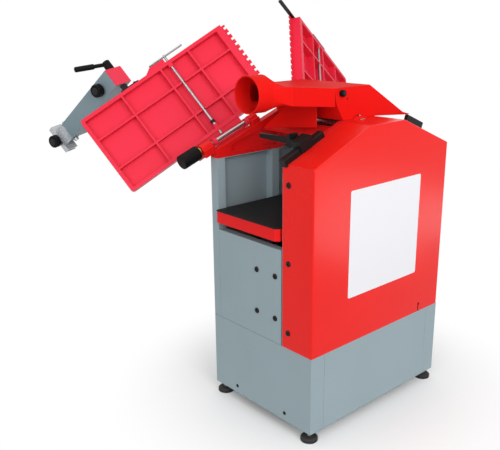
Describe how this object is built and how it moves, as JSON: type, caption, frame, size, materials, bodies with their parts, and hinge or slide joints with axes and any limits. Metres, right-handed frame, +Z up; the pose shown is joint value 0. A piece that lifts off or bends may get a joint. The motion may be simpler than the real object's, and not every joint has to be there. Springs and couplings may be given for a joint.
{
  "type": "planer thicknesser",
  "caption": "Planer-thicknesser on a cabinet stand: fold-up ribbed tables, cutterblock under a dust hood, crank-raised thicknessing table, swing guard arm.",
  "frame": {"origin": "on the floor, under the middle of the stand", "axes": "+X along the planing feed from the infeed table to the outfeed table, +Y towards the side where the tables hinge, +Z up"},
  "size_m": [1.15, 0.9752, 1.2291],
  "materials": {
    "grey_panels": "satin grey paint",
    "red_cover": "gloss red paint",
    "red_castings": "satin red paint",
    "black_plate": "black table top",
    "bright_steel": "machined steel",
    "grey_castings": "plain grey casting",
    "alloy": "matt alloy",
    "grey_arm": "grey paint",
    "black_steel": "black paint",
    "black_plastic": "black moulding",
    "red_plastic": "red moulding",
    "green_plastic": "green moulding",
    "belt_rubber": "black rubber"
  },
  "bodies": {
    "frame": {"stand_front_panel": "grey_panels", "stand_rear_panel": "grey_panels", "stand_side_panels": "grey_panels", "stand_deck": "grey_panels", "foot_pads": "black_plastic", "foot_studs": "bright_steel", "far_wall": "grey_panels", "near_wall": "grey_panels", "front_panel": "grey_panels", "rear_panel": "grey_panels", "body_screws": "black_steel", "drive_cover": "red_cover", "base_casting": "red_castings", "cutter_bearings": "bright_steel", "drive_belt": "belt_rubber", "motor": "alloy", "feed_gearbox": "grey_castings", "feed_chains": "bright_steel", "kickback_rod": "bright_steel", "outfeed_shaft": "bright_steel", "guide_bars": "black_steel", "lift_bearings": "grey_castings", "switch_box": "black_plastic"},
    "depth_knob": {"depth_knob": "black_plastic"},
    "infeed_shaft": {"infeed_shaft": "bright_steel"},
    "infeed_table": {"infeed_table": "red_castings", "guard_bracket": "black_steel"},
    "infeed_lock": {"infeed_lock": "bright_steel"},
    "guard_arm": {"guard_arm": "grey_arm", "guard_pivot_block": "red_castings"},
    "guard_arm_knob": {"guard_arm_knob": "black_plastic"},
    "guard_lever": {"guard_lever": "black_plastic"},
    "guard_holder": {"guard_holder": "alloy"},
    "guard_holder_knob": {"guard_holder_knob": "black_plastic"},
    "outfeed_table": {"outfeed_table": "red_castings", "outfeed_strip": "black_steel"},
    "outfeed_lock": {"outfeed_lock": "bright_steel"},
    "dust_hood": {"dust_hood": "red_plastic", "hood_end_plate": "red_plastic", "hood_skirt": "red_plastic"},
    "hood_knob": {"hood_knob": "black_plastic"},
    "table_shoe": {"table_shoe": "black_steel"},
    "shoe_lever": {"shoe_lever": "black_steel"},
    "cutterblock": {"cutterblock": "bright_steel", "cutter_knives": "bright_steel", "cutter_pulley": "grey_castings"},
    "motor_rotor": {"motor_pulley": "grey_castings"},
    "ribbed_roller": {"ribbed_feed_roller": "bright_steel"},
    "smooth_roller": {"smooth_feed_roller": "bright_steel"},
    "gearbox_output": {"gearbox_sprocket": "bright_steel"},
    "kickback_fingers": {"kickback_fingers": "bright_steel"},
    "handwheel": {"handwheel": "black_plastic", "crank_shaft": "bright_steel"},
    "lead_screw": {"lead_screw": "bright_steel"},
    "thicknesser_table": {"thicknesser_tray": "red_castings", "thicknesser_top": "black_plate", "lift_tube": "bright_steel", "guide_columns": "bright_steel"},
    "start_button": {"start_button": "green_plastic"},
    "stop_button": {"stop_button": "red_plastic"}
  },
  "joints": [
    {"name": "infeed_table_fold", "type": "hinge", "parent": "infeed_shaft", "child": "infeed_table", "pos_m": [-0.295, 0.204, 0.8217], "axis": [0.9367, 0, 0.3502], "range_deg": [0, 124.7]},
    {"name": "outfeed_table_fold", "type": "hinge", "parent": "frame", "child": "outfeed_table", "pos_m": [0.295, 0.204, 0.8217], "axis": [0.9367, 0, -0.3502], "range_deg": [0, 113.2]},
    {"name": "hood_lift", "type": "slide", "parent": "frame", "child": "dust_hood", "axis": [0, -0.8, 0.6], "range_m": [0, 0.45]},
    {"name": "hood_knob_turn", "type": "hinge", "parent": "dust_hood", "child": "hood_knob", "pos_m": [-0.074, -0.101, 0.973], "axis": [0, -1, 0], "range_deg": [0, 720]},
    {"name": "depth_knob_turn", "type": "hinge", "parent": "frame", "child": "depth_knob", "pos_m": [-0.37836, 0.204, 0.79053], "axis": [-0.9367, 0, -0.3502], "range_deg": [0, 2064]},
    {"name": "infeed_depth", "type": "slide", "parent": "frame", "child": "infeed_shaft", "axis": [-0.9367, 0, -0.3502], "range_m": [0, 0.0086]},
    {"name": "shoe_slide", "type": "slide", "parent": "frame", "child": "table_shoe", "axis": [-0.9243, 0, -0.3816], "range_m": [0, 0.0086]},
    {"name": "shoe_lever_turn", "type": "hinge", "parent": "table_shoe", "child": "shoe_lever", "pos_m": [-0.23072, -0.0582, 0.84525], "axis": [0, 0, 1], "range_deg": [0, 60]},
    {"name": "infeed_lock_turn", "type": "hinge", "parent": "infeed_table", "child": "infeed_lock", "pos_m": [-0.30277, 0.40499, 1.05121], "axis": [-0.2879, 0.5693, 0.7701], "range_deg": [0, 35]},
    {"name": "outfeed_lock_turn", "type": "hinge", "parent": "outfeed_table", "child": "outfeed_lock", "pos_m": [0.31527, 0.35756, 1.08465], "axis": [-0.3219, -0.3939, -0.8609], "range_deg": [0, 35]},
    {"name": "guard_arm_swing", "type": "hinge", "parent": "infeed_table", "child": "guard_arm", "pos_m": [-0.42573, 0.50218, 1.00222], "axis": [0.2879, -0.5693, -0.7701], "range_deg": [-40, 115]},
    {"name": "guard_lever_turn", "type": "hinge", "parent": "guard_arm", "child": "guard_lever", "pos_m": [-0.43408, 0.51869, 1.02455], "axis": [0.2879, -0.5693, -0.7701], "range_deg": [-60, 60]},
    {"name": "guard_arm_knob_turn", "type": "hinge", "parent": "guard_arm", "child": "guard_arm_knob", "pos_m": [-0.47249, 0.52202, 0.97007], "axis": [-0.9432, -0.308, -0.125], "range_deg": [0, 720]},
    {"name": "guard_holder_tilt", "type": "hinge", "parent": "guard_arm", "child": "guard_holder", "pos_m": [-0.49453, 0.7067, 0.8253], "axis": [0.2879, -0.5693, -0.7701], "range_deg": [-45, 45]},
    {"name": "guard_holder_knob_turn", "type": "hinge", "parent": "guard_holder", "child": "guard_holder_knob", "pos_m": [-0.53563, 0.71364, 0.79831], "axis": [-0.9432, -0.308, -0.125], "range_deg": [0, 720]},
    {"name": "cutterblock_spin", "type": "hinge", "parent": "frame", "child": "cutterblock", "pos_m": [0, 0, 0.874], "axis": [0, 1, 0], "continuous": true},
    {"name": "motor_spin", "type": "hinge", "parent": "frame", "child": "motor_rotor", "pos_m": [0.17, 0, 0.392], "axis": [0, 1, 0], "continuous": true},
    {"name": "ribbed_roller_spin", "type": "hinge", "parent": "frame", "child": "ribbed_roller", "pos_m": [0.062, 0, 0.85], "axis": [0, 1, 0], "continuous": true},
    {"name": "smooth_roller_spin", "type": "hinge", "parent": "frame", "child": "smooth_roller", "pos_m": [-0.062, 0, 0.85], "axis": [0, 1, 0], "continuous": true},
    {"name": "gearbox_spin", "type": "hinge", "parent": "frame", "child": "gearbox_output", "pos_m": [0, 0, 0.69], "axis": [0, 1, 0], "continuous": true},
    {"name": "kickback_swing", "type": "hinge", "parent": "frame", "child": "kickback_fingers", "pos_m": [0.115, 0, 0.868], "axis": [0, 1, 0], "range_deg": [0, 25]},
    {"name": "handwheel_turn", "type": "hinge", "parent": "frame", "child": "handwheel", "pos_m": [0.295, 0.04575, 0.312], "axis": [-1, 0, 0], "range_deg": [-1200, 12300]},
    {"name": "lead_screw_turn", "type": "hinge", "parent": "frame", "child": "lead_screw", "pos_m": [0, 0.04575, 0.312], "axis": [0, 0, -1], "range_deg": [-1200, 12300]},
    {"name": "table_lift", "type": "slide", "parent": "frame", "child": "thicknesser_table", "axis": [0, 0, 1], "range_m": [-0.02, 0.205]},
    {"name": "start_press", "type": "slide", "parent": "frame", "child": "start_button", "axis": [-1, 0, 0], "range_m": [0, 0.004], "stiffness_N_per_m": 600},
    {"name": "stop_press", "type": "slide", "parent": "frame", "child": "stop_button", "axis": [-1, 0, 0], "range_m": [0, 0.004], "stiffness_N_per_m": 600}
  ],
  "couplings": [
    {"joint": "outfeed_table_fold", "follows": "infeed_table_fold", "ratio": 0.90778},
    {"joint": "hood_lift", "follows": "infeed_table_fold", "m_per_rad": 0.20676},
    {"joint": "depth_knob_turn", "follows": "infeed_depth", "rad_per_m": 4188.8},
    {"joint": "shoe_slide", "follows": "infeed_depth", "ratio": 1},
    {"joint": "lead_screw_turn", "follows": "table_lift", "rad_per_m": 1047.2},
    {"joint": "handwheel_turn", "follows": "table_lift", "rad_per_m": 1047.2},
    {"joint": "motor_spin", "follows": "cutterblock_spin", "ratio": 0.3125},
    {"joint": "ribbed_roller_spin", "follows": "cutterblock_spin", "ratio": -0.016667},
    {"joint": "smooth_roller_spin", "follows": "cutterblock_spin", "ratio": -0.016667},
    {"joint": "gearbox_spin", "follows": "cutterblock_spin", "ratio": -0.016667}
  ]
}
